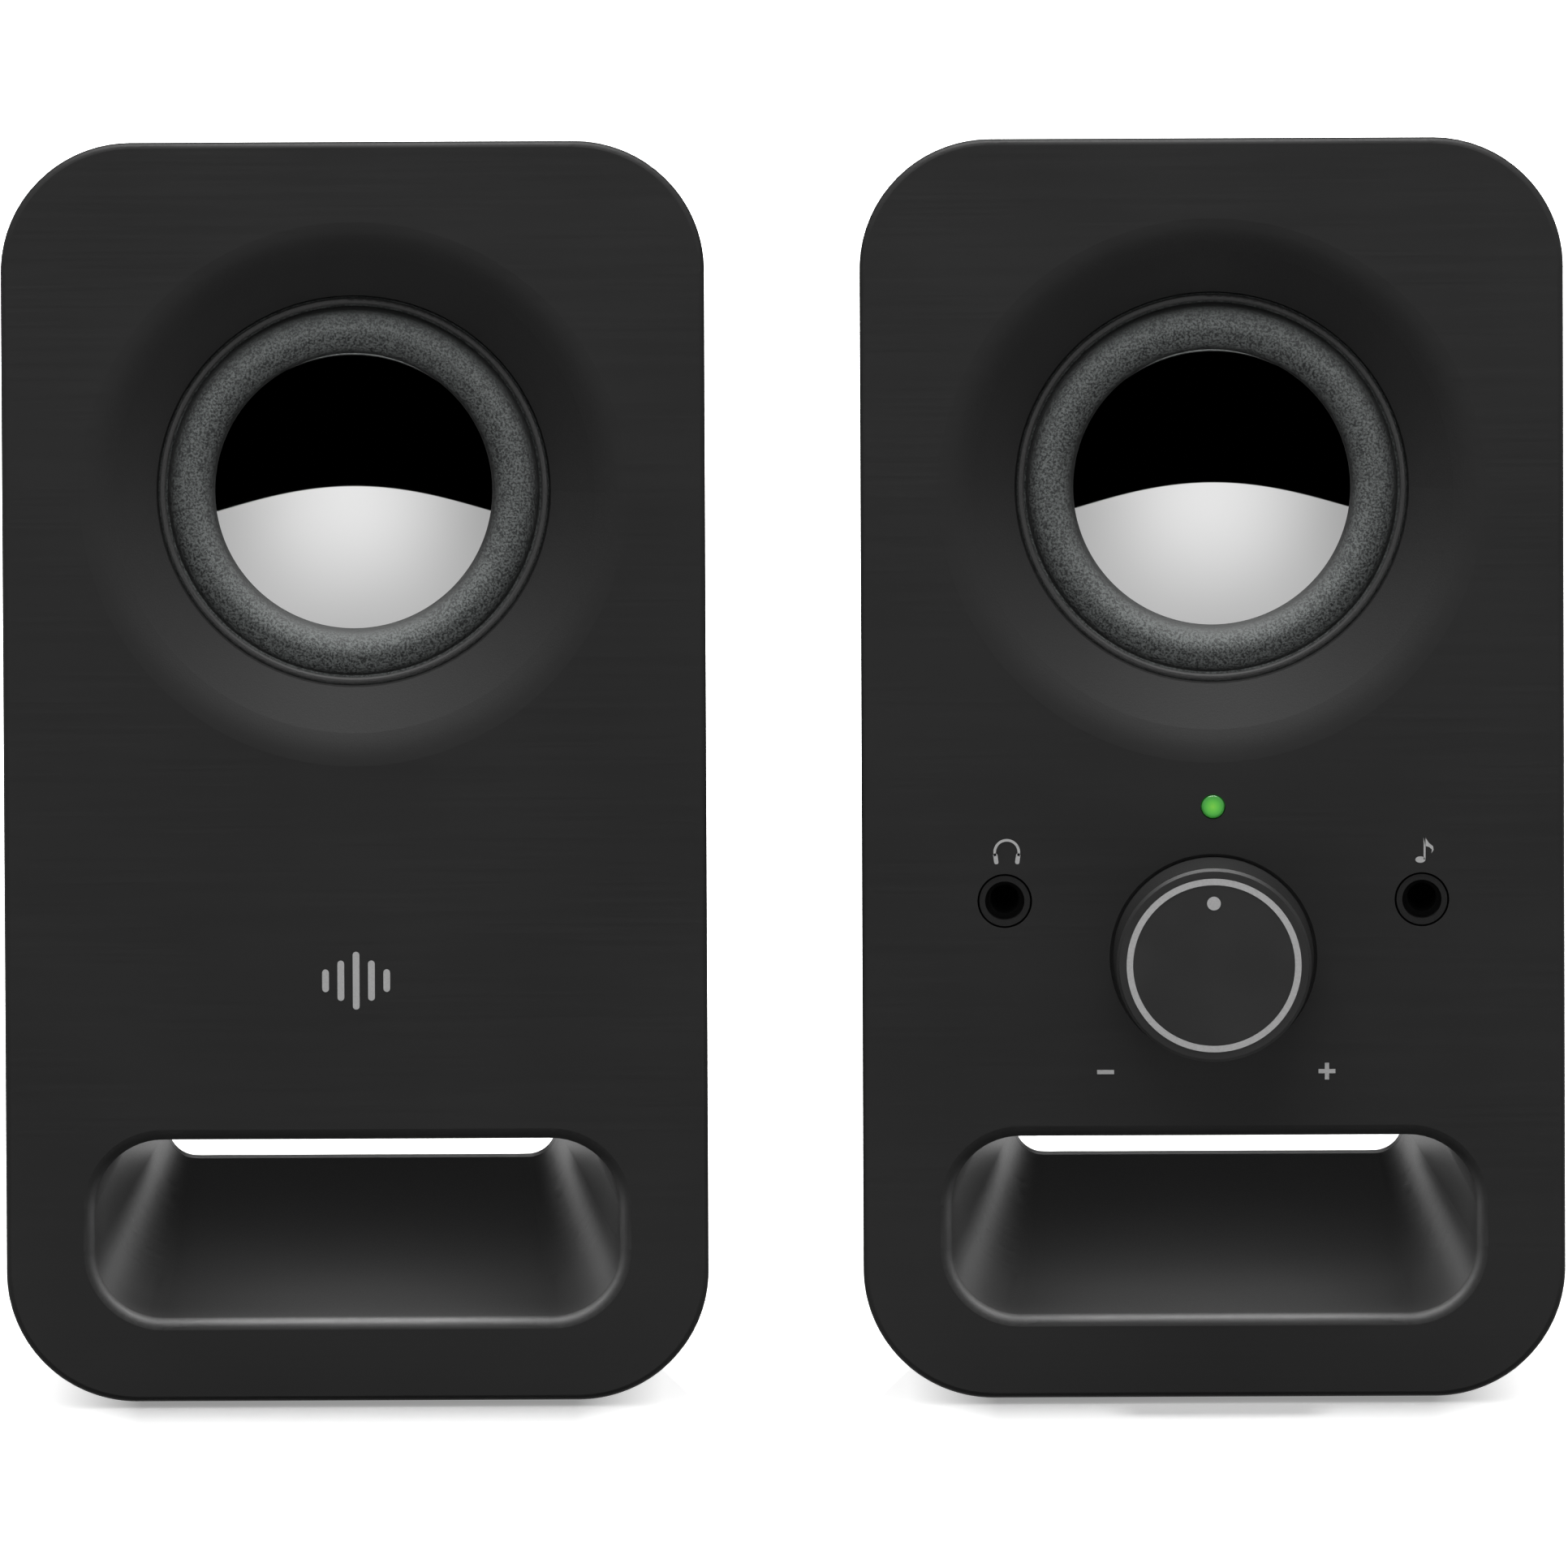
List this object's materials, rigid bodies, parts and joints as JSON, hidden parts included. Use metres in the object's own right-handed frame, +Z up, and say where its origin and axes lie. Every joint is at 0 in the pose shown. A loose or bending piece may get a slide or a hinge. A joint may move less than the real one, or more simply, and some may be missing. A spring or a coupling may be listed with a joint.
{
  "type": "desktop speakers",
  "caption": "Pair of compact powered desktop speakers with round-cornered black cabinets, one driver each, and a volume knob, light and jacks on the right one.",
  "frame": {"origin": "centre of the pair's footprint, on the desk surface under the feet", "axes": "+X from the left speaker to the right speaker as seen from the front, +Y from the fronts to the backs, +Z up"},
  "size_m": [0.1938, 0.0865, 0.1582],
  "materials": {
    "cabinet": "satin moulded black with a fine brushed grain",
    "foot_rubber": "matte black rubber",
    "black_screw": "black oxide",
    "zinc_screw": "zinc plated",
    "basket_steel": "black coated pressed steel",
    "plate_steel": "zinc plated steel",
    "ferrite": "ground dark ferrite",
    "polished_dish": "mirror-bright metallised dish",
    "coil_former": "thin aluminium foil",
    "copper": "enamelled copper wire",
    "spider_cloth": "resin-dipped cloth",
    "surround_foam": "fine-pored dark grey foam rubber",
    "trim_ring": "black, fine matt",
    "phenolic": "brown phenolic sheet",
    "tinned_brass": "tinned",
    "lead_sleeve": "soft insulated wire",
    "circuit_board": "green solder mask",
    "knob_plastic": "fine matt black",
    "print_grey": "pale grey inlay",
    "zinc_case": "stamped zinc",
    "shaft_aluminium": "turned",
    "nickel_nut": "nickel plated",
    "socket_plastic": "black moulded",
    "light_pipe": "clear green light guide, lit",
    "led_green": "lit green chip",
    "chip_epoxy": "moulded epoxy",
    "sink_aluminium": "extruded, natural",
    "capacitor_sleeve": "shrunk sleeve",
    "header_nylon": "natural nylon",
    "nickel_pin": "nickel plated"
  },
  "bodies": {
    "right_speaker": {"right_front_shell": "cabinet", "right_rear_shell": "cabinet", "right_feet": "foot_rubber", "right_shell_screws": "black_screw", "right_driver_basket": "basket_steel", "right_driver_top_plate": "plate_steel", "right_driver_magnet": "ferrite", "right_driver_yoke": "plate_steel", "right_spider": "spider_cloth", "right_surround": "surround_foam", "right_driver_trim_ring": "trim_ring", "right_driver_screws": "zinc_screw", "right_terminal_strip": "phenolic", "right_terminal_lugs": "tinned_brass", "right_driver_leads": "lead_sleeve", "right_socket_board": "circuit_board", "right_board_screws": "zinc_screw", "potentiometer_body": "zinc_case", "potentiometer_nut": "nickel_nut", "headphone_jack": "socket_plastic", "aux_input_jack": "socket_plastic", "led_light_pipe": "light_pipe", "power_led": "led_green", "control_board": "circuit_board", "amplifier_chip": "chip_epoxy", "heat_sink": "sink_aluminium", "capacitors": "capacitor_sleeve", "wire_headers": "header_nylon", "power_leads": "lead_sleeve", "power_inlet": "socket_plastic", "power_inlet_pin": "nickel_pin", "speaker_output_jack": "socket_plastic"},
    "left_speaker": {"left_front_shell": "cabinet", "left_rear_shell": "cabinet", "left_feet": "foot_rubber", "left_shell_screws": "black_screw", "left_driver_basket": "basket_steel", "left_driver_top_plate": "plate_steel", "left_driver_magnet": "ferrite", "left_driver_yoke": "plate_steel", "left_spider": "spider_cloth", "left_surround": "surround_foam", "left_driver_trim_ring": "trim_ring", "left_driver_screws": "zinc_screw", "left_terminal_strip": "phenolic", "left_terminal_lugs": "tinned_brass", "left_driver_leads": "lead_sleeve", "left_socket_board": "circuit_board", "left_board_screws": "zinc_screw", "speaker_input_jack": "socket_plastic"},
    "volume_control": {"volume_knob": "knob_plastic", "knob_markings": "print_grey", "potentiometer_shaft": "shaft_aluminium"},
    "right_cone_assembly": {"right_driver_cone": "polished_dish", "right_voice_coil_former": "coil_former", "right_voice_coil_winding": "copper"},
    "left_cone_assembly": {"left_driver_cone": "polished_dish", "left_voice_coil_former": "coil_former", "left_voice_coil_winding": "copper"}
  },
  "joints": [
    {"name": "volume_turn", "type": "hinge", "parent": "right_speaker", "child": "volume_control", "pos_m": [0.05325, -0.03475, 0.056], "axis": [0, 1, 0], "range_deg": [-150, 150]},
    {"name": "right_cone_travel", "type": "slide", "parent": "right_speaker", "child": "right_cone_assembly", "axis": [0, -1, 0], "range_m": [-0.001, 0.001], "stiffness_N_per_m": 1200, "deforming": ["right_surround", "right_spider"]},
    {"name": "left_cone_travel", "type": "slide", "parent": "left_speaker", "child": "left_cone_assembly", "axis": [0, -1, 0], "range_m": [-0.001, 0.001], "stiffness_N_per_m": 1200, "deforming": ["left_surround", "left_spider"]},
    {"name": "left_speaker_spacing", "type": "slide", "parent": "right_speaker", "child": "left_speaker", "axis": [-1, 0, 0], "range_m": [-0.015, 0.3]}
  ]
}
